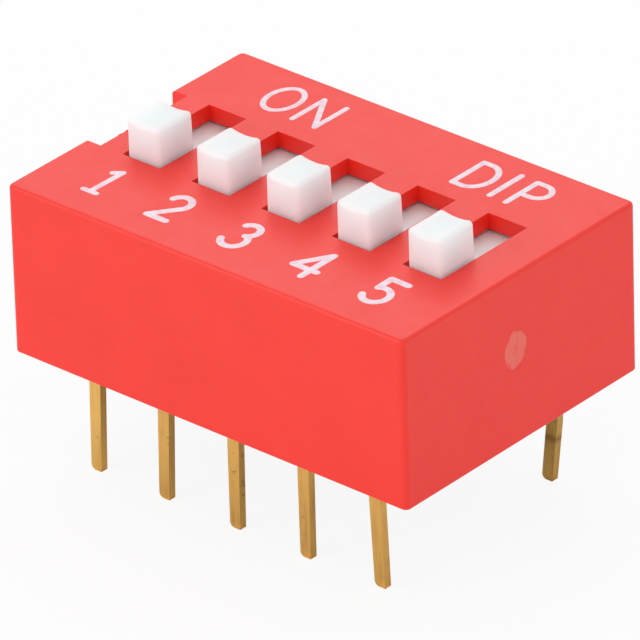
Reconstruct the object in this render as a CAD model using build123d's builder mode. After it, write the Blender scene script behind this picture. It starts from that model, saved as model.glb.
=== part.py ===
"""Slide DIP switch: a one-row bank of raised-knob slide switches on two rows of pins.

Frame: +X runs along the numbered positions, +Y towards the ON side, +Z up. The origin is
below the middle of the body, in the plane of the pin tips. Every knob is modelled OFF.
"""
import os

from build123d import *

os.makedirs("parts", exist_ok=True)

# ---------------------------------------------------------------- driving dimensions (mm)
positions = 5
pitch = 2.54  # between neighbouring positions and pins
row_spacing = 7.62  # between the two rows of pins

# Housing outside
end_margin = 2.07  # from the first or last position to the body's end
side_margin = 1.14  # from a row of pins to the body's side
body_height = 5.3
corner_radius = 0.18  # upright edges
top_edge_radius = 0.12
bottom_edge_radius = 0.06

# Cover walls
top_plate = 0.5
side_wall = 0.65
end_wall = 0.95

# Orientation notch in the end beside position 1, and the gate mark on the other end
notch_depth = 0.57
notch_drop = 1.0
gate_size = (0.96, 1.24)  # along Y, along Z
gate_shift = (-0.26, 0.3)  # from the middle of the end face
gate_depth = 0.08

# Knobs and the slots they run in
knob_width = 1.18
knob_depth = 1.5
knob_rise = 1.2  # above the cover
knob_back_slope = 0.06  # the back of the knob leans in by this much at its top
knob_dish = 0.1  # hollow in the middle of the knob's top
knob_edge_radius = 0.12
knob_offset = 0.05  # every knob stands this far towards +X in its slot
slot_width = 1.38
slot_shift = 0.14  # the slots sit this far towards ON from the body's middle
knob_gap = 0.04  # between a knob and either end of its slot

# Sliders
slider_width = 1.8
plate_thickness = 0.9
plate_lap = 0.13  # least cover of the plate beyond a slot's end
plate_end_gap = 0.13  # left between plate and wall at the end of the stroke
slider_edge_radius = 0.06
slide_gap = 0.04  # above the plate
side_gap = 0.06  # between a slider and a rib
peg_radius = 0.25
peg_length = 0.3

# Moving contacts
wiper_thickness = 0.12
wiper_width = 1.0
wiper_span = 2.8  # between its two contact points
wiper_flat = 1.3  # length that lies against the slider
wiper_toe = (0.45, 0.35)  # turned-up end: along Y, along Z
wiper_bend = 0.25
wiper_on_centre = 0.2  # middle of the wiper along Y when ON
wiper_room = 1.1  # between the base floor and the slider's underside
wiper_gap = 0.04  # between a contact point and the pads
peg_gap = 0.03  # round the peg

# Base
base_recess = 0.1  # its underside sits this far inside the cover's rim
base_floor = 1.2
fit_gap = 0.03  # round the base inside the cover
lug_length = 1.0
lug_height = 0.4
lug_proud = 0.12
lug_land = 0.1  # flat of a lug's nose, below its ramp
lug_lift = 0.35  # above the base's underside

# Terminals
strip_thickness = 0.25
pad_width = 1.2
pad_break = 1.95  # bare floor between a front pad and a back pad
pin_width = 0.42
pin_tip_width = 0.37
pin_length = 3.6  # below the body
shoulder_drop = 0.3  # wide part of a terminal below its pad
strip_bend = 0.2
tip_radius = 0.16  # rounded corner left by the cutting tool

# How far each pin's tip stands out of line, (X, Y), and how far above the tip it is bent
front_leans = [(-0.09, 0.0), (-0.1, 0.0), (-0.03, 0.0), (0.0, 0.0), (0.1, 0.06)]
back_leans = [(0.0, 0.0), (0.0, 0.0), (0.0, 0.0), (0.0, 0.0), (0.0, -0.26)]
back_bend_height = 1.75

# ---------------------------------------------------------------- derived sizes and levels
first_x = -(positions - 1) * pitch / 2
position_x = [first_x + i * pitch for i in range(positions)]
row_y = row_spacing / 2
body_length = (positions - 1) * pitch + 2 * end_margin
body_width = row_spacing + 2 * side_margin
cavity_length = body_length - 2 * end_wall
cavity_width = body_width - 2 * side_wall

seat_z = pin_length
top_z = seat_z + body_height
ceiling_z = top_z - top_plate
base_z = seat_z + base_recess
floor_z = base_z + base_floor
slider_top_z = ceiling_z - slide_gap
slider_bottom_z = floor_z + wiper_room

# The plate hides its slot at both ends of the stroke. Towards ON the cavity holds half the
# slot, which is half a knob and half the stroke, and then the whole stroke again.
on_room = cavity_width / 2 - plate_end_gap - plate_lap - slot_shift
stroke = (on_room - knob_depth / 2 - knob_gap) / 1.5
slot_length = knob_depth + stroke + 2 * knob_gap
slot_front = slot_shift - slot_length / 2
slot_back = slot_shift + slot_length / 2
plate_front = slot_front - plate_lap - stroke
plate_back = slot_back + plate_lap
knob_front = slot_front + knob_gap
wiper_y = wiper_on_centre - stroke

rib_thickness = pitch - slider_width - 2 * side_gap
rib_x = [x + pitch / 2 for x in position_x[:-1]]
lug_x = (rib_x[0], rib_x[-1])
print(f"body {body_length:.2f} x {body_width:.2f} x {body_height:.2f}, stroke {stroke:.3f}")


def finish(part, name):
    """Label a finished piece and write it."""
    part.label = name
    export_step(part, f"parts/{name}.step")


# ---------------------------------------------------------------- cover
with BuildPart() as cover:
    with BuildSketch(Plane.XY.offset(seat_z)):
        RectangleRounded(body_length, body_width, corner_radius)
    extrude(amount=body_height)
    fillet(cover.edges().group_by(Axis.Z)[-1], radius=top_edge_radius)
    fillet(cover.edges().group_by(Axis.Z)[0], radius=bottom_edge_radius)

    # Cavity, open below
    with BuildSketch(Plane.XY.offset(seat_z)):
        Rectangle(cavity_length, cavity_width)
    extrude(amount=ceiling_z - seat_z, mode=Mode.SUBTRACT)

    # Slots
    with BuildSketch(Plane.XY.offset(top_z)):
        with Locations((0, slot_shift)):
            with GridLocations(pitch, 0, positions, 1):
                Rectangle(slot_width, slot_length)
    extrude(amount=-top_plate, mode=Mode.SUBTRACT)

    # Orientation notch
    with BuildSketch(Plane.XY.offset(top_z)):
        with Locations((-body_length / 2, slot_shift)):
            Rectangle(2 * notch_depth, slot_length)
    extrude(amount=-notch_drop, mode=Mode.SUBTRACT)

    # Gate mark
    with BuildSketch(Plane.YZ.offset(body_length / 2)):
        with Locations((gate_shift[0], seat_z + body_height / 2 + gate_shift[1])):
            Ellipse(gate_size[0] / 2, gate_size[1] / 2)
    extrude(amount=-gate_depth, mode=Mode.SUBTRACT)

    # Pockets for the base's lugs
    pocket_low = base_z + lug_lift - fit_gap
    for x in lug_x:
        with BuildSketch(Plane.XY.offset(pocket_low)):
            with Locations((x, 0)):
                Rectangle(lug_length + 2 * fit_gap, cavity_width + 2 * lug_proud)
        extrude(amount=lug_height + 2 * fit_gap, mode=Mode.SUBTRACT)
finish(cover.part, "cover")


# ---------------------------------------------------------------- terminals
def make_terminal(x, side, lean, bend_z):
    """One stamped terminal: a contact pad in the base floor and a pin below it.

    side is -1 for the front row and +1 for the back row; lean is how far the pin's tip
    stands out of line, and bend_z the height at which it starts to.
    """
    pad_z = floor_z - strip_thickness / 2
    pin_y = side * row_y
    lean_x, lean_y = lean
    past_tip = strip_thickness
    tip_y = pin_y + lean_y * (bend_z + past_tip) / bend_z
    with BuildPart() as terminal:
        # Strip seen from the end
        with BuildSketch(Plane.YZ.offset(x)):
            with BuildLine():
                leg = [(pin_y, pad_z), (pin_y, bend_z), (tip_y, -past_tip)]
                if lean_y == 0:
                    leg.pop(1)
                bends = [strip_bend] * (len(leg) - 1)
                FilletPolyline((side * pad_break / 2, pad_z), *leg, radius=bends)
            trace(line_width=strip_thickness)
        extrude(amount=pad_width / 2, both=True)

        # Outline seen from the front: wide at the pad, narrow at the pin
        shoulder_z = floor_z - strip_thickness - shoulder_drop
        with BuildSketch(Plane.XZ) as outline:
            with Locations((x, (shoulder_z + floor_z) / 2)):
                Rectangle(pad_width, floor_z - shoulder_z)
            with BuildLine():
                Polyline(
                    (x - pin_width / 2, shoulder_z),
                    (x - pin_width / 2, base_z),
                    (x + lean_x - pin_tip_width / 2, 0),
                    (x + lean_x + pin_tip_width / 2, 0),
                    (x + pin_width / 2, base_z),
                    (x + pin_width / 2, shoulder_z),
                    close=True,
                )
            make_face()
            corner = outline.vertices().group_by(Axis.Y)[0].sort_by(Axis.X)[0]
            fillet(corner, radius=tip_radius)
        extrude(amount=body_width, both=True, mode=Mode.INTERSECT)
    return terminal.part


terminals = {}
for number in range(1, positions + 1):
    x = position_x[number - 1]
    front_lean = front_leans[(number - 1) % len(front_leans)]
    back_lean = back_leans[(number - 1) % len(back_leans)]
    terminals[f"terminal_front_{number}"] = make_terminal(x, -1, front_lean, base_z)
    terminals[f"terminal_back_{number}"] = make_terminal(x, 1, back_lean, back_bend_height)
for name, terminal_part in terminals.items():
    finish(terminal_part, name)

# ---------------------------------------------------------------- base
with BuildPart() as base:
    with BuildSketch(Plane.XY.offset(base_z)):
        Rectangle(cavity_length - 2 * fit_gap, cavity_width - 2 * fit_gap)
    extrude(amount=base_floor)

    # Ribs between the sliders
    with BuildSketch(Plane.XY.offset(floor_z)):
        with GridLocations(pitch, 0, positions - 1, 1):
            Rectangle(rib_thickness, cavity_width - 2 * fit_gap)
    extrude(amount=ceiling_z - slide_gap - floor_z)

    # Lugs that snap into the cover, ramped above so that they ride in
    lug_y = cavity_width / 2 - fit_gap
    for x in lug_x:
        with BuildSketch(Plane.YZ.offset(x)):
            with BuildLine():
                Polyline(
                    (0, base_z + lug_lift),
                    (lug_y + lug_proud, base_z + lug_lift),
                    (lug_y + lug_proud, base_z + lug_lift + lug_land),
                    (lug_y, base_z + lug_lift + lug_height),
                    (0, base_z + lug_lift + lug_height),
                    close=True,
                )
            make_face()
            mirror(about=Plane.YZ)
        extrude(amount=lug_length / 2, both=True)

    # The base is moulded round the terminals
    for terminal_part in terminals.values():
        add(terminal_part, mode=Mode.SUBTRACT)
finish(base.part, "base")


# ---------------------------------------------------------------- sliders
def make_slider(x):
    """One slider, OFF: plate under the slot, knob above it, block and peg for the wiper."""
    wiper_reach = wiper_span / 2 + wiper_toe[0]
    with BuildPart() as slider:
        with BuildSketch(Plane.XY.offset(slider_top_z)):
            with Locations((x, (plate_front + plate_back) / 2)):
                Rectangle(slider_width, plate_back - plate_front)
        extrude(amount=-plate_thickness)
        with BuildSketch(Plane.XY.offset(slider_bottom_z)):
            with Locations((x, wiper_y)):
                Rectangle(slider_width, 2 * wiper_reach)
        extrude(amount=slider_top_z - plate_thickness - slider_bottom_z)
        fillet(slider.edges().filter_by(Axis.Z), radius=slider_edge_radius)

        # Peg that holds the wiper
        with BuildSketch(Plane.XY.offset(slider_bottom_z)):
            with Locations((x, wiper_y)):
                Circle(peg_radius)
        extrude(amount=-peg_length)
    with BuildPart() as knob:
        # Side view: upright front, back leaning in
        knob_x = x + knob_offset
        knob_top = top_z + knob_rise
        with BuildSketch(Plane.YZ.offset(knob_x)):
            with BuildLine():
                Polyline(
                    (knob_front, slider_top_z),
                    (knob_front, knob_top),
                    (knob_front + knob_depth - knob_back_slope, knob_top),
                    (knob_front + knob_depth, top_z),
                    (knob_front + knob_depth, slider_top_z),
                    close=True,
                )
            make_face()
        extrude(amount=knob_width / 2, both=True)
        # Dished top, hollow across X
        dish_radius = (knob_width**2 / 4 + knob_dish**2) / (2 * knob_dish)
        with BuildSketch(Plane.XZ.offset(-knob_front)):
            with Locations((knob_x, knob_top - knob_dish + dish_radius)):
                Circle(dish_radius)
        extrude(amount=-knob_depth, mode=Mode.SUBTRACT)
        above_plate = knob.edges().filter_by(lambda edge: edge.center().Z > top_z)
        fillet(above_plate, radius=knob_edge_radius)
    return slider.part + knob.part


# ---------------------------------------------------------------- moving contacts
def make_wiper(x):
    """One bowed spring strip with two contact points, on its slider's peg."""
    high = slider_bottom_z - wiper_thickness / 2
    low = floor_z + wiper_gap + wiper_thickness / 2
    contact = wiper_span / 2
    toe_y = contact + wiper_toe[0]
    toe_z = low + wiper_toe[1]
    with BuildPart() as wiper:
        with BuildSketch(Plane.YZ.offset(x)):
            with BuildLine():
                FilletPolyline(
                    (wiper_y - toe_y, toe_z),
                    (wiper_y - contact, low),
                    (wiper_y - wiper_flat / 2, high),
                    (wiper_y + wiper_flat / 2, high),
                    (wiper_y + contact, low),
                    (wiper_y + toe_y, toe_z),
                    radius=wiper_bend,
                )
            trace(line_width=wiper_thickness)
        extrude(amount=wiper_width / 2, both=True)
        with BuildSketch(Plane.XY.offset(slider_bottom_z)):
            with Locations((x, wiper_y)):
                Circle(peg_radius + peg_gap)
        extrude(amount=-2 * wiper_thickness, mode=Mode.SUBTRACT)
    return wiper.part


for number, x in enumerate(position_x, start=1):
    finish(make_slider(x), f"slider_{number}")
    finish(make_wiper(x), f"wiper_{number}")
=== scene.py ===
"""Looks of the slide DIP switch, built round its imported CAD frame. Lengths are in metres."""
import math

import bmesh
import bpy
from mathutils import Matrix, Vector, noise


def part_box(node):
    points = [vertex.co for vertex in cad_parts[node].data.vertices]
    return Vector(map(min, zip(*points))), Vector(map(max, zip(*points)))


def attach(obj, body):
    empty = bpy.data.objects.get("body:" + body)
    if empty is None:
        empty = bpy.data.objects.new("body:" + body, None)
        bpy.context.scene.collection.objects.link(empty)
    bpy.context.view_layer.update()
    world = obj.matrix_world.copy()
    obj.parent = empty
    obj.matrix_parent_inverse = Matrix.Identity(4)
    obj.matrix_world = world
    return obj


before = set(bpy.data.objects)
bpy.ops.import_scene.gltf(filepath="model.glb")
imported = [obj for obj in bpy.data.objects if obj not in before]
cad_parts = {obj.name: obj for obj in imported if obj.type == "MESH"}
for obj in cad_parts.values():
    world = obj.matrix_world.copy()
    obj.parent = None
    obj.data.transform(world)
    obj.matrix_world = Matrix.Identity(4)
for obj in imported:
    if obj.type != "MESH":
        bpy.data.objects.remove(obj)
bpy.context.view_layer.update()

MM = 0.001
HOUSING = "housing"
cover_low, cover_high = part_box("cover")
body_middle = (cover_low + cover_high) / 2
top_z = cover_high.z


# ---------------------------------------------------------------- camera
# A long lens, high up at the front right, that looks down on the switch.
AZIMUTH = math.radians(41.44)  # from the front, towards the right
ELEVATION = math.radians(29.29)
ROLL = math.radians(-1.72)
DISTANCE = 289.65 * MM
SENSOR_WIDTH = 36  # in the camera's own unit, as its focal length is
FOCAL_SHARE = 16.382  # focal length over picture width
AIM_RIGHT, AIM_UP = -0.073 * MM, -1.2 * MM  # aim, from the body's middle, in the picture
NEAREST, FARTHEST = 0.01, 10  # the camera draws what is between these


def add_camera():
    back = Vector((math.sin(AZIMUTH) * math.cos(ELEVATION),
                   -math.cos(AZIMUTH) * math.cos(ELEVATION),
                   math.sin(ELEVATION)))
    level_right = (-back).cross(Vector((0, 0, 1))).normalized()
    level_up = level_right.cross(-back)
    right = math.cos(ROLL) * level_right + math.sin(ROLL) * level_up
    up = math.cos(ROLL) * level_up - math.sin(ROLL) * level_right
    place = body_middle + back * DISTANCE
    forward = (body_middle + AIM_RIGHT * right + AIM_UP * up - place).normalized()
    right = (right - right.dot(forward) * forward).normalized()
    axes = Matrix((right, right.cross(forward), -forward)).transposed()

    data = bpy.data.cameras.new("camera")
    data.sensor_width = SENSOR_WIDTH
    data.lens = FOCAL_SHARE * SENSOR_WIDTH
    data.clip_start = NEAREST
    data.clip_end = FARTHEST
    camera = bpy.data.objects.new("camera", data)
    camera.matrix_world = Matrix.Translation(place) @ axes.to_4x4()
    bpy.context.scene.collection.objects.link(camera)
    bpy.context.scene.camera = camera


add_camera()


# ---------------------------------------------------------------- node helpers
def new_material(name):
    """A node material, its tree and its shader."""
    material = bpy.data.materials.new(name)
    material.use_nodes = True
    tree = material.node_tree
    return material, tree, tree.nodes["Principled BSDF"]


def feed(tree, socket, value):
    """Links the socket to value if that is a socket too, or else sets it to value."""
    if isinstance(value, bpy.types.NodeSocket):
        tree.links.new(value, socket)
    else:
        socket.default_value = value


def feed_all(tree, node, **inputs):
    """Feeds the node's named inputs. An underscore stands for a space in a name."""
    for name, value in inputs.items():
        feed(tree, node.inputs[name.replace("_", " ")], value)


def add_node(tree, kind, **inputs):
    node = tree.nodes.new(kind)
    feed_all(tree, node, **inputs)
    return node


def combine(tree, operation, first, second):
    """The result of a Math node."""
    node = tree.nodes.new("ShaderNodeMath")
    node.operation = operation
    feed(tree, node.inputs[0], first)
    feed(tree, node.inputs[1], second)
    return node.outputs["Value"]


def mix_colours(tree, share, first, second):
    """From the first colour to the second one as share goes from 0 to 1."""
    node = tree.nodes.new("ShaderNodeMix")
    node.data_type = "RGBA"
    inputs = {socket.identifier: socket for socket in node.inputs}
    outputs = {socket.identifier: socket for socket in node.outputs}
    feed(tree, inputs["Factor_Float"], share)
    feed(tree, inputs["A_Color"], first)
    feed(tree, inputs["B_Color"], second)
    return outputs["Result_Color"]


def mix_shaders(tree, share, first, second):
    """From the first shader to the second one as share goes from 0 to 1."""
    node = add_node(tree, "ShaderNodeMixShader", Fac=share)
    tree.links.new(first, node.inputs[1])
    tree.links.new(second, node.inputs[2])
    return node.outputs["Shader"]


def object_place(tree):
    return tree.nodes.new("ShaderNodeTexCoord").outputs["Object"]


def millimetres(tree, stretch=(1, 1, 1)):
    """Object coordinates in millimetres, each axis times its stretch."""
    scale = [s / MM for s in stretch]
    node = add_node(tree, "ShaderNodeMapping", Vector=object_place(tree), Scale=scale)
    return node.outputs["Vector"]


def noise_of(tree, place, per_mm, detail=2.0):
    node = add_node(tree, "ShaderNodeTexNoise", Vector=place, Scale=per_mm, Detail=detail)
    return node.outputs["Fac"]


def ramp(tree, value, *stops):
    """A colour ramp: each stop is (position, grey level or colour)."""
    node = add_node(tree, "ShaderNodeValToRGB", Fac=value)
    elements = node.color_ramp.elements
    while len(elements) < len(stops):
        elements.new(0.5)
    for element, (position, level) in zip(elements, stops):
        element.position = position
        element.color = (*level, 1) if isinstance(level, tuple) else (level, level, level, 1)
    return node.outputs["Color"]


def spread(tree, value, low, high):
    """A ramp from low to high over the part of its range that noise mostly stays in."""
    return ramp(tree, value, (0.3, low), (0.7, high))


def bump(tree, height, depth, **below):
    """A bumped normal. below may hold the Normal that it starts from."""
    node = add_node(tree, "ShaderNodeBump", Height=height, Distance=depth, Strength=1.0, **below)
    return node.outputs["Normal"]


# ---------------------------------------------------------------- materials
def red_plastic():
    """Satin moulded red: faint clouding, fine grain, a slow waviness from the mould."""
    material, tree, shader = new_material("red_plastic")
    place = millimetres(tree)
    clouds = noise_of(tree, place, per_mm=0.45, detail=4)
    sheen = noise_of(tree, place, per_mm=2.2, detail=5)
    grain = bump(tree, noise_of(tree, place, per_mm=16, detail=3), depth=0.0012 * MM)
    waves = noise_of(tree, place, per_mm=0.7, detail=1)
    feed_all(tree, shader,
             Base_Color=spread(tree, clouds, (0.87, 0.022, 0.011), (0.9, 0.027, 0.014)),
             Roughness=spread(tree, sheen, 0.34, 0.44),
             Normal=bump(tree, waves, depth=0.01 * MM, Normal=grain))
    return material


def white_plastic():
    """Slightly translucent white of the sliders."""
    material, tree, shader = new_material("white_plastic")
    place = millimetres(tree)
    clouds = noise_of(tree, place, per_mm=1.3, detail=3)
    sheen = noise_of(tree, place, per_mm=5, detail=3)
    grain = noise_of(tree, place, per_mm=9, detail=3)
    feed_all(tree, shader,
             Base_Color=spread(tree, clouds, (0.78, 0.87, 0.9), (0.81, 0.9, 0.93)),
             Roughness=spread(tree, sheen, 0.38, 0.5),
             Normal=bump(tree, grain, depth=0.002 * MM),
             Subsurface_Weight=1.0,
             Subsurface_Radius=(0.8, 1.2, 1.2),  # less for red, against the pink of the cover
             Subsurface_Scale=1.1 * MM)
    return material


def black_plastic():
    """Matt moulded base."""
    material, tree, shader = new_material("black_plastic")
    place = millimetres(tree)
    clouds = noise_of(tree, place, per_mm=0.8, detail=4)
    grain = noise_of(tree, place, per_mm=12, detail=4)
    feed_all(tree, shader,
             Base_Color=spread(tree, clouds, (0.018, 0.018, 0.019), (0.032, 0.031, 0.031)),
             Roughness=spread(tree, clouds, 0.5, 0.62),
             Normal=bump(tree, grain, depth=0.004 * MM))
    return material


BAND_HALF = 0.4  # the bend's dark band of painted crease shade, in millimetres either side of its middle


def bend_band(tree, place, height):
    """How dark the strip is painted round its bend at this height, from 0 to 0.75: painted shade
    of the crease.
    """
    z = add_node(tree, "ShaderNodeSeparateXYZ", Vector=place).outputs["Z"]
    middle = height / MM
    across = add_node(tree, "ShaderNodeMapRange", Value=z, From_Min=middle - BAND_HALF,
                      From_Max=middle + BAND_HALF)
    return ramp(tree, across.outputs["Result"], (0.3, 0.0), (0.5, 0.75), (0.7, 0.0))


def gold_plate(name, shade, bend_height=None):
    """Worn gold flash on stamped strip: drawn streaks, a few soft specks of tarnish and, if the
    strip was bent, a dark band of painted crease shade round the bend. A shade below 1 darkens
    every colour, as painted shade."""
    material, tree, shader = new_material(name)
    place = millimetres(tree)

    def shaded(*colour):
        return tuple(shade * channel for channel in colour)

    streaks = noise_of(tree, millimetres(tree, stretch=(9, 9, 0.8)), per_mm=1, detail=3)
    gold_colour = ramp(tree, streaks, (0.3, shaded(0.7, 0.43, 0.12)),
                       (0.5, shaded(0.82, 0.5, 0.14)), (0.7, shaded(0.76, 0.53, 0.14)))
    specks_and_crease_shade = ramp(tree, noise_of(tree, place, per_mm=3.2), (0.66, 0.0), (0.74, 1.0))
    speck_and_shade_colour = (*shaded(0.5, 0.28, 0.08), 1)
    # With a bend, the mask also holds the band of painted crease shade, and specks and band take a
    # darker colour
    if bend_height is not None:
        specks_and_crease_shade = combine(tree, "MAXIMUM", specks_and_crease_shade, bend_band(tree, place, bend_height))
        speck_and_shade_colour = (*shaded(0.35, 0.18, 0.05), 1)
    feed_all(tree, shader,
             Base_Color=mix_colours(tree, specks_and_crease_shade, gold_colour, speck_and_shade_colour),
             Roughness=spread(tree, streaks, 0.3, 0.42),
             Normal=bump(tree, streaks, depth=0.004 * MM),
             Metallic=1.0)
    return material


def print_ink():
    """Pinkish white pad print, thin enough for the red to show through in places."""
    material, tree, shader = new_material("print_ink")
    place = millimetres(tree)
    thickness = noise_of(tree, place, per_mm=5, detail=4)
    grain = noise_of(tree, place, per_mm=18, detail=3)
    feed_all(tree, shader,
             Base_Color=ramp(tree, thickness, (0.3, (0.83, 0.58, 0.66)), (0.6, (0.9, 0.76, 0.83))),
             Normal=bump(tree, grain, depth=0.003 * MM),
             Roughness=0.55)
    return material


def stressed_plastic(middle, radii):
    """Red plastic whitened in an uneven patch, where the gate was torn off the end face."""
    material, tree, shader = new_material("stressed_plastic")
    scale = Vector((0, 1 / radii[0], 1 / radii[1]))
    centred = add_node(tree, "ShaderNodeMapping", Vector=object_place(tree), Scale=scale,
                       Location=-middle * scale)
    from_middle = tree.nodes.new("ShaderNodeVectorMath")  # 1 at the patch's edge
    from_middle.operation = "LENGTH"
    tree.links.new(centred.outputs["Vector"], from_middle.inputs[0])
    torn = noise_of(tree, millimetres(tree, stretch=(1, 2.2, 1)), per_mm=1.7, detail=4)
    ragged = combine(tree, "ADD", from_middle.outputs["Value"], torn)
    halved = combine(tree, "MULTIPLY", ragged, 0.5)  # a ramp only reads up to 1
    feed_all(tree, shader,
             Base_Color=ramp(tree, halved, (0.25, (0.84, 0.09, 0.06)), (0.45, (0.84, 0.14, 0.105)),
                             (0.65, (0.85, 0.13, 0.1)), (0.76, (0.88, 0.026, 0.014))),
             Normal=bump(tree, torn, depth=0.008 * MM),
             Roughness=0.5)
    return material


BRIGHT_SHADE, BODY_SHADOW_LEVEL = 1.04, 0.72  # times the gold's colours; the lower level is painted shade, for the back pins in the body's shadow
BEND_RISE = 1.25 * MM  # from the bent pin's tip up to its bend

red = red_plastic()
white = white_plastic()
black = black_plastic()
ink = print_ink()
gold = gold_plate("gold_plate", BRIGHT_SHADE)
# A darker copy of the same gold: painted shade of the body over the back pins
shaded_gold = gold_plate("gold_painted_shade", BODY_SHADOW_LEVEL)
# The bent back pin takes the same painted shade level, and a painted crease band round its bend
bent = gold_plate("gold_bent", BODY_SHADOW_LEVEL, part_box("terminal_back_5")[0].z + BEND_RISE)


def paint(piece, material):
    piece.data.materials.clear()
    piece.data.materials.append(material)


finishes = {"cover": red, "base": black, "slider": white, "wiper": gold, "terminal": gold}
for name, cad_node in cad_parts.items():
    # The back pins take the darker gold copy, which is painted shade
    finish_and_shade = shaded_gold if name.startswith("terminal_back") else finishes[name.split("_")[0]]
    paint(cad_node, bent if name == "terminal_back_5" else finish_and_shade)


# ---------------------------------------------------------------- mesh helpers
def add_piece(name, mesh, material, body=HOUSING):
    piece = bpy.data.objects.new(name, mesh)
    bpy.context.scene.collection.objects.link(piece)
    paint(piece, material)
    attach(piece, body)
    return piece


def mesh_from(name, build, *values, smooth=False):
    """A mesh made by build(bmesh, *values), with its normals outward."""
    work = bmesh.new()
    build(work, *values)
    bmesh.ops.recalc_face_normals(work, faces=work.faces)
    for face in work.faces:
        face.smooth = smooth
    mesh = bpy.data.meshes.new(name)
    work.to_mesh(mesh)
    work.free()
    return mesh


def join_loops(work, here, there):
    """A closed band of faces from one loop of vertices to the next one."""
    for k in range(len(here)):
        after = (k + 1) % len(here)
        work.faces.new((here[k], here[after], there[after], there[k]))


# ---------------------------------------------------------------- print on the top
INK_HEIGHT = 0.014 * MM
INK_SINK = 0.004 * MM  # into the cover, so that no gap shows below the ink
INK_SOFT = 0.012 * MM  # the ink's edge slopes in by this much
INK_LOW, INK_HIGH = top_z - INK_SINK, top_z + INK_HEIGHT
CAP_STEPS, ARC_STEPS, RING_STEPS = 8, 18, 48
SHARPEST_CORNER = 0.5  # limits how far out an inner point of a stroke is mitred


def arc(centre, radii, start, end):
    """Points of an elliptical arc, from start to end in degrees."""
    points = []
    for k in range(ARC_STEPS + 1):
        angle = math.radians(start + (end - start) * k / ARC_STEPS)
        points.append((centre[0] + radii[0] * math.cos(angle),
                       centre[1] + radii[1] * math.sin(angle)))
    return points


def round_cap(centre, along, radius):
    """Points round the end of a stroke that runs along this way, without its two corners."""
    start = math.atan2(along.y, along.x) + math.pi / 2
    angles = [start - math.pi * k / CAP_STEPS for k in range(1, CAP_STEPS)]
    return [centre + Vector((math.cos(angle), math.sin(angle))) * radius for angle in angles]


def stroke_outline(points, width):
    """The outline of a pen of this width drawn along the points, with round ends."""
    line = [Vector(point) for point in points]
    last = len(line) - 1
    half = width / 2
    left, right, directions = [], [], []
    for k, point in enumerate(line):
        before = (point - line[max(k - 1, 0)]).normalized()
        after = (line[min(k + 1, last)] - point).normalized()
        along = (before + after).normalized()
        lean = abs(before.dot(along)) if 0 < k < last else 1
        reach = half / max(lean, SHARPEST_CORNER)
        side = Vector((-along.y, along.x)) * reach
        left.append(point + side)
        right.append(point - side)
        directions.append(along)
    end = round_cap(line[-1], directions[-1], half)
    start = round_cap(line[0], -directions[0], half)
    return left + end + right[::-1] + start


def add_stroke(work, points, width):
    """One closed raised stroke of ink."""
    foot = stroke_outline(points, width)
    crown = stroke_outline(points, width - 2 * INK_SOFT)
    rows = [[work.verts.new((p.x, p.y, z)) for p in outline]
            for outline, z in ((foot, INK_LOW), (foot, top_z), (crown, INK_HIGH))]
    for lower, upper in zip(rows, rows[1:]):
        join_loops(work, lower, upper)
    work.faces.new(rows[0][::-1])
    work.faces.new(rows[-1])


def add_ring(work, centre, radii, width):
    """One closed raised ring of ink, for a letter O."""
    half = width / 2
    section = [(-half, INK_LOW), (-half, top_z), (-half + INK_SOFT, INK_HIGH),
               (half - INK_SOFT, INK_HIGH), (half, top_z), (half, INK_LOW)]
    turns = []
    for k in range(RING_STEPS):
        angle = math.tau * k / RING_STEPS
        turns.append([work.verts.new((centre[0] + (radii[0] + out) * math.cos(angle),
                                      centre[1] + (radii[1] + out) * math.sin(angle), z))
                      for out, z in section])
    for here, there in zip(turns, turns[1:] + turns[:1]):
        join_loops(work, here, there)


def unite(pieces):
    """Joins overlapping closed meshes into one skin."""
    first, rest = pieces[0], pieces[1:]
    for other in rest:
        union = first.modifiers.new("union", "BOOLEAN")
        union.operation = "UNION"
        union.solver = "EXACT"
        union.object = other
    shown = first.evaluated_get(bpy.context.evaluated_depsgraph_get())
    mesh = bpy.data.meshes.new_from_object(shown)
    for piece in pieces:
        bpy.data.objects.remove(piece)
    return mesh


def add_glyph(name, origin, width, strokes, rings=()):
    """Lettering: strokes are point lists in millimetres from origin, and rings are (centre,
    radii). The origin is in millimetres from the middle of the body's top."""
    def place(point):
        return (body_middle.x + (origin[0] + point[0]) * MM,
                body_middle.y + (origin[1] + point[1]) * MM)

    meshes = [mesh_from(name, add_stroke, [place(point) for point in points], width * MM)
              for points in strokes]
    meshes += [mesh_from(name, add_ring, place(centre), [r * MM for r in radii], width * MM)
               for centre, radii in rings]
    parts = [bpy.data.objects.new("stroke", mesh) for mesh in meshes]
    for part in parts:
        bpy.context.scene.collection.objects.link(part)
    mesh = unite(parts)
    mesh.name = name
    return add_piece(name, mesh, ink)


# Widths and heights of the lettering, in millimetres and between stroke centres
ON_STROKE, DIP_STROKE = 0.175, 0.19
DIGIT_STROKE, ONE_STROKE = 0.22, 0.19
LETTER_TALL = 1.38
N_WIDE = 0.82
P_BOWL = 0.38  # half the height of its bowl
DIGIT_LOW, DIGIT_HIGH = -0.67, 0.68


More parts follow.
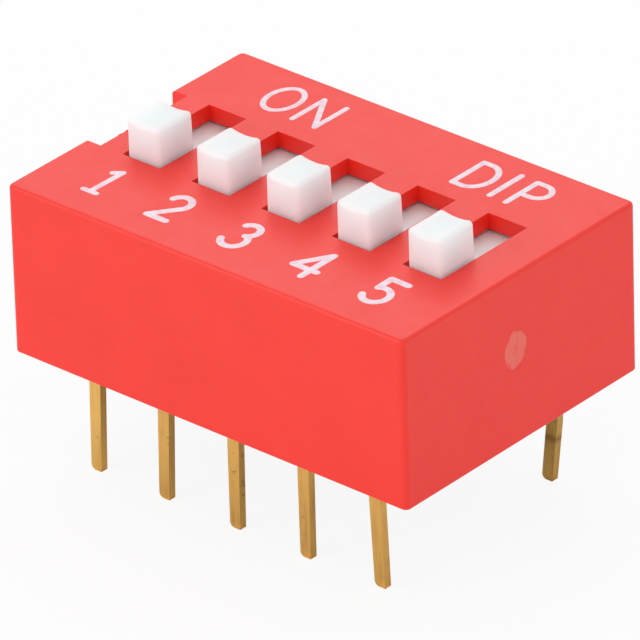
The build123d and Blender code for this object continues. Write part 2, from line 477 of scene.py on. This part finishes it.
def add_letters():
    """ON and DIP. The O's place is its middle, and each other letter's is its lower left."""
    stem = [(0, 0), (0, LETTER_TALL)]
    add_glyph("print_o", (-4.31, 3.47), ON_STROKE, [], rings=[((0, 0), (0.49, 0.7))])

    slope = [(0, LETTER_TALL), (N_WIDE, 0)]
    far_stem = [(N_WIDE, 0), (N_WIDE, LETTER_TALL)]
    add_glyph("print_n", (-3.39, 2.76), ON_STROKE, [stem, slope, far_stem])

    curve = arc((0.32, LETTER_TALL / 2), (0.53, LETTER_TALL / 2), -90, 90)
    bowl = [(0, 0), *curve, (0, LETTER_TALL)]
    add_glyph("print_d", (2.47, 2.71), DIP_STROKE, [stem, bowl])

    add_glyph("print_i", (3.78, 2.75), DIP_STROKE, [stem])

    curve = arc((0.33, LETTER_TALL - P_BOWL), (0.39, P_BOWL), 90, -90)
    bowl = [(0, LETTER_TALL), *curve, (0, LETTER_TALL - 2 * P_BOWL)]
    add_glyph("print_p", (4.38, 2.72), DIP_STROKE, [stem, bowl])


def add_digits():
    """1 to 5. Each digit's place is the middle of its box."""
    flag = [(-0.2, 0.5), (0.03, DIGIT_HIGH)]
    stem = [(0.03, DIGIT_HIGH), (0, DIGIT_LOW)]
    foot = [(-0.24, DIGIT_LOW), (0.22, DIGIT_LOW)]
    add_glyph("print_1", (-5.06, -3.17), ONE_STROKE, [flag, stem, foot])

    hook = [*arc((0, 0.32), (0.33, 0.36), 165, -35), (-0.34, DIGIT_LOW)]
    foot = [(-0.34, DIGIT_LOW), (0.34, DIGIT_LOW)]
    add_glyph("print_2", (-2.64, -3.16), DIGIT_STROKE, [hook, foot])

    upper = arc((-0.02, 0.36), (0.3, 0.32), 150, -70)
    lower = arc((-0.04, -0.27), (0.37, 0.4), 62, -160)
    add_glyph("print_3", (-0.09, -3.19), DIGIT_STROKE, [upper, lower])

    stem = [(0.2, DIGIT_LOW - 0.05), (0.2, DIGIT_HIGH)]
    slope = [(0.2, DIGIT_HIGH), (-0.42, -0.32)]
    bar = [(-0.42, -0.32), (0.42, -0.32)]
    add_glyph("print_4", (2.44, -3.16), DIGIT_STROKE, [stem, slope, bar])

    bowl = arc((-0.04, -0.25), (0.38, 0.42), 125, -155)
    bar = [(0.34, DIGIT_HIGH - 0.02), (-0.27, DIGIT_HIGH)]
    stem = [(-0.27, DIGIT_HIGH), bowl[0]]
    add_glyph("print_5", (4.97, -3.17), DIGIT_STROKE, [bar, stem, bowl])


add_letters()
add_digits()


# ---------------------------------------------------------------- gate mark
GATE_RADII = (0.482 * MM, 0.622 * MM)
GATE_PLACE = (-0.26 * MM, 0.3 * MM)  # from the middle of the end face
GATE_DEPTH = 0.08 * MM  # of the dimple in the cover
GATE_LEVEL, GATE_LIMIT = 0.96, 0.98  # mean and greatest height, as shares of the depth
RIM_PLACE, RIM_WIDTH, RIM_RISE = 0.8, 0.16, 0.1
SPLIT_PLACE, SPLIT_WIDTH, SPLIT_DROP = 0.1, 0.16, 0.55
GRAIN_SIZE, GRAIN_RISE = 0.16 * MM, 0.25
RINGS, SPOKES = 14, 64


def bell(distance, width):
    return math.exp(-(distance / width) ** 2)


def gate_height(y, z, share):
    """Height of the torn stub over its dimple's floor: a rim, a split and a rough middle.
    share is how far out the point is, from 0 in the middle to 1 at the edge."""
    rim = bell(share - RIM_PLACE, RIM_WIDTH)
    split = bell(y / GATE_RADII[0] - SPLIT_PLACE, SPLIT_WIDTH) * (1 - share**2)
    rough = noise.noise(Vector((y, z, 0)) / GRAIN_SIZE) * (1 - share**6)
    height = GATE_LEVEL + RIM_RISE * rim - SPLIT_DROP * split + GRAIN_RISE * rough
    return GATE_DEPTH * min(GATE_LIMIT, height)


gate_middle = Vector((cover_high.x - GATE_DEPTH, body_middle.y + GATE_PLACE[0],
                      body_middle.z + GATE_PLACE[1]))


def build_gate(work):
    rings = []
    for n in range(1, RINGS + 1):
        share = n / RINGS
        ring = []
        for k in range(SPOKES):
            angle = math.tau * k / SPOKES
            y = GATE_RADII[0] * share * math.cos(angle)
            z = GATE_RADII[1] * share * math.sin(angle)
            height = gate_height(y, z, share)
            ring.append(work.verts.new(gate_middle + Vector((height, y, z))))
        rings.append(ring)
    centre = work.verts.new(gate_middle + Vector((gate_height(0, 0, 0), 0, 0)))
    foot = [work.verts.new((gate_middle.x, v.co.y, v.co.z)) for v in rings[-1]]
    for k in range(SPOKES):
        work.faces.new((centre, rings[0][k], rings[0][(k + 1) % SPOKES]))
    for inner, outer in zip(rings, rings[1:] + [foot]):
        join_loops(work, inner, outer)
    work.faces.new(foot[::-1])


add_piece("gate_mark", mesh_from("gate_mark", build_gate, smooth=True),
          stressed_plastic(gate_middle, GATE_RADII))


# ---------------------------------------------------------------- flash at the notch
NOTCH_DEPTH = 0.57 * MM
FLASH_START, FLASH_END = -1.04 * MM, 0.5 * MM  # along Y, from the body's middle
FLASH_DROP = 0.02 * MM  # its middle, below the top
FLASH_TIP, FLASH_THICK, FLASH_WAVE = 0.006, 0.026, 0.034  # of its radius, in millimetres
WAVE_LENGTH = 0.2 * MM
NOISE_ROW = 0.3  # any other value gives other waves
FLASH_STEPS, FLASH_SIDES = 40, 10


def build_flash(work):
    """A wavy thread of flash along the notch's inner top edge."""
    turns = []
    for k in range(FLASH_STEPS + 1):
        share = k / FLASH_STEPS
        y = body_middle.y + FLASH_START + (FLASH_END - FLASH_START) * share
        waves = noise.noise(Vector((NOISE_ROW, y / WAVE_LENGTH, 0)))
        swell = math.sin(math.pi * share) ** 0.5
        radius = MM * (FLASH_TIP + (FLASH_THICK + FLASH_WAVE * waves) * swell)
        middle = Vector((cover_low.x + NOTCH_DEPTH, y, top_z - FLASH_DROP))
        angles = [math.tau * n / FLASH_SIDES for n in range(FLASH_SIDES)]
        turns.append([work.verts.new(middle + radius * Vector((math.cos(a), 0, math.sin(a))))
                      for a in angles])
    for here, there in zip(turns, turns[1:]):
        join_loops(work, here, there)
    work.faces.new(turns[0])
    work.faces.new(turns[-1][::-1])


add_piece("notch_flash", mesh_from("notch_flash", build_flash, smooth=True), red)


# ---------------------------------------------------------------- stage and light
WHITE = (1, 1, 1, 1)
FLOOR_WHITE = (0.92, 0.92, 0.92, 1)
FLOOR_HALF = 0.5  # half a side
FLOOR_SHADE = 0.1  # how much of the floor's own shading shows
WORLD_LIGHT = 0.73
SOFTBOX_DISTANCE = 0.3


def only_seen(tree, seen, otherwise, also=()):
    """One shader for what the camera sees, and these other rays, and another for the rest."""
    path = tree.nodes.new("ShaderNodeLightPath")
    total = path.outputs["Is Camera Ray"]
    for other in also:
        total = combine(tree, "MAXIMUM", total, path.outputs[other])
    return mix_shaders(tree, total, otherwise, seen)


def add_world():
    """White for the eye and in reflections, and a dimmer white as light."""
    world = bpy.data.worlds.new("studio")
    world.use_nodes = True
    bpy.context.scene.world = world
    tree = world.node_tree
    tree.nodes.clear()
    seen = add_node(tree, "ShaderNodeBackground", Color=WHITE, Strength=1.0)
    light = add_node(tree, "ShaderNodeBackground", Color=WHITE, Strength=WORLD_LIGHT)
    mixed = only_seen(tree, seen.outputs[0], light.outputs[0],
                      also=("Is Glossy Ray", "Is Transmission Ray"))
    add_node(tree, "ShaderNodeOutputWorld", Surface=mixed)


def add_floor():
    """A white floor that keeps a faint shadow."""
    corners = [(-FLOOR_HALF, -FLOOR_HALF), (FLOOR_HALF, -FLOOR_HALF),
               (FLOOR_HALF, FLOOR_HALF), (-FLOOR_HALF, FLOOR_HALF)]
    mesh = bpy.data.meshes.new("floor")
    mesh.from_pydata([(x, y, 0) for x, y in corners], [], [(0, 1, 2, 3)])
    floor = bpy.data.objects.new("floor", mesh)
    bpy.context.scene.collection.objects.link(floor)
    material = bpy.data.materials.new("floor")
    material.use_nodes = True
    tree = material.node_tree
    tree.nodes.clear()
    diffuse = add_node(tree, "ShaderNodeBsdfDiffuse", Color=FLOOR_WHITE).outputs[0]
    glow = add_node(tree, "ShaderNodeEmission", Color=WHITE, Strength=1.0).outputs[0]
    seen = mix_shaders(tree, FLOOR_SHADE, glow, diffuse)
    add_node(tree, "ShaderNodeOutputMaterial", Surface=only_seen(tree, seen, diffuse))
    paint(floor, material)


def add_softbox(name, direction, size, level):
    """A square soft light aimed at the body. level is how bright it makes a white surface that
    faces it."""
    data = bpy.data.lights.new(name, "AREA")
    data.shape = "SQUARE"
    data.size = size
    data.energy = level * (math.pi * SOFTBOX_DISTANCE) ** 2
    light = bpy.data.objects.new(name, data)
    away = Vector(direction).normalized()
    light.location = body_middle + away * SOFTBOX_DISTANCE
    light.rotation_euler = away.to_track_quat("Z", "Y").to_euler()
    bpy.context.scene.collection.objects.link(light)


add_world()
add_floor()
add_softbox("key", direction=(-0.35, -0.8, 0.35), size=0.2, level=0.3)
add_softbox("fill", direction=(0.85, -0.3, 0.25), size=0.2, level=0.12)
add_softbox("sky", direction=(-0.42, 0.46, 0.78), size=0.25, level=0.22)
bpy.context.scene.view_settings.view_transform = "Standard"
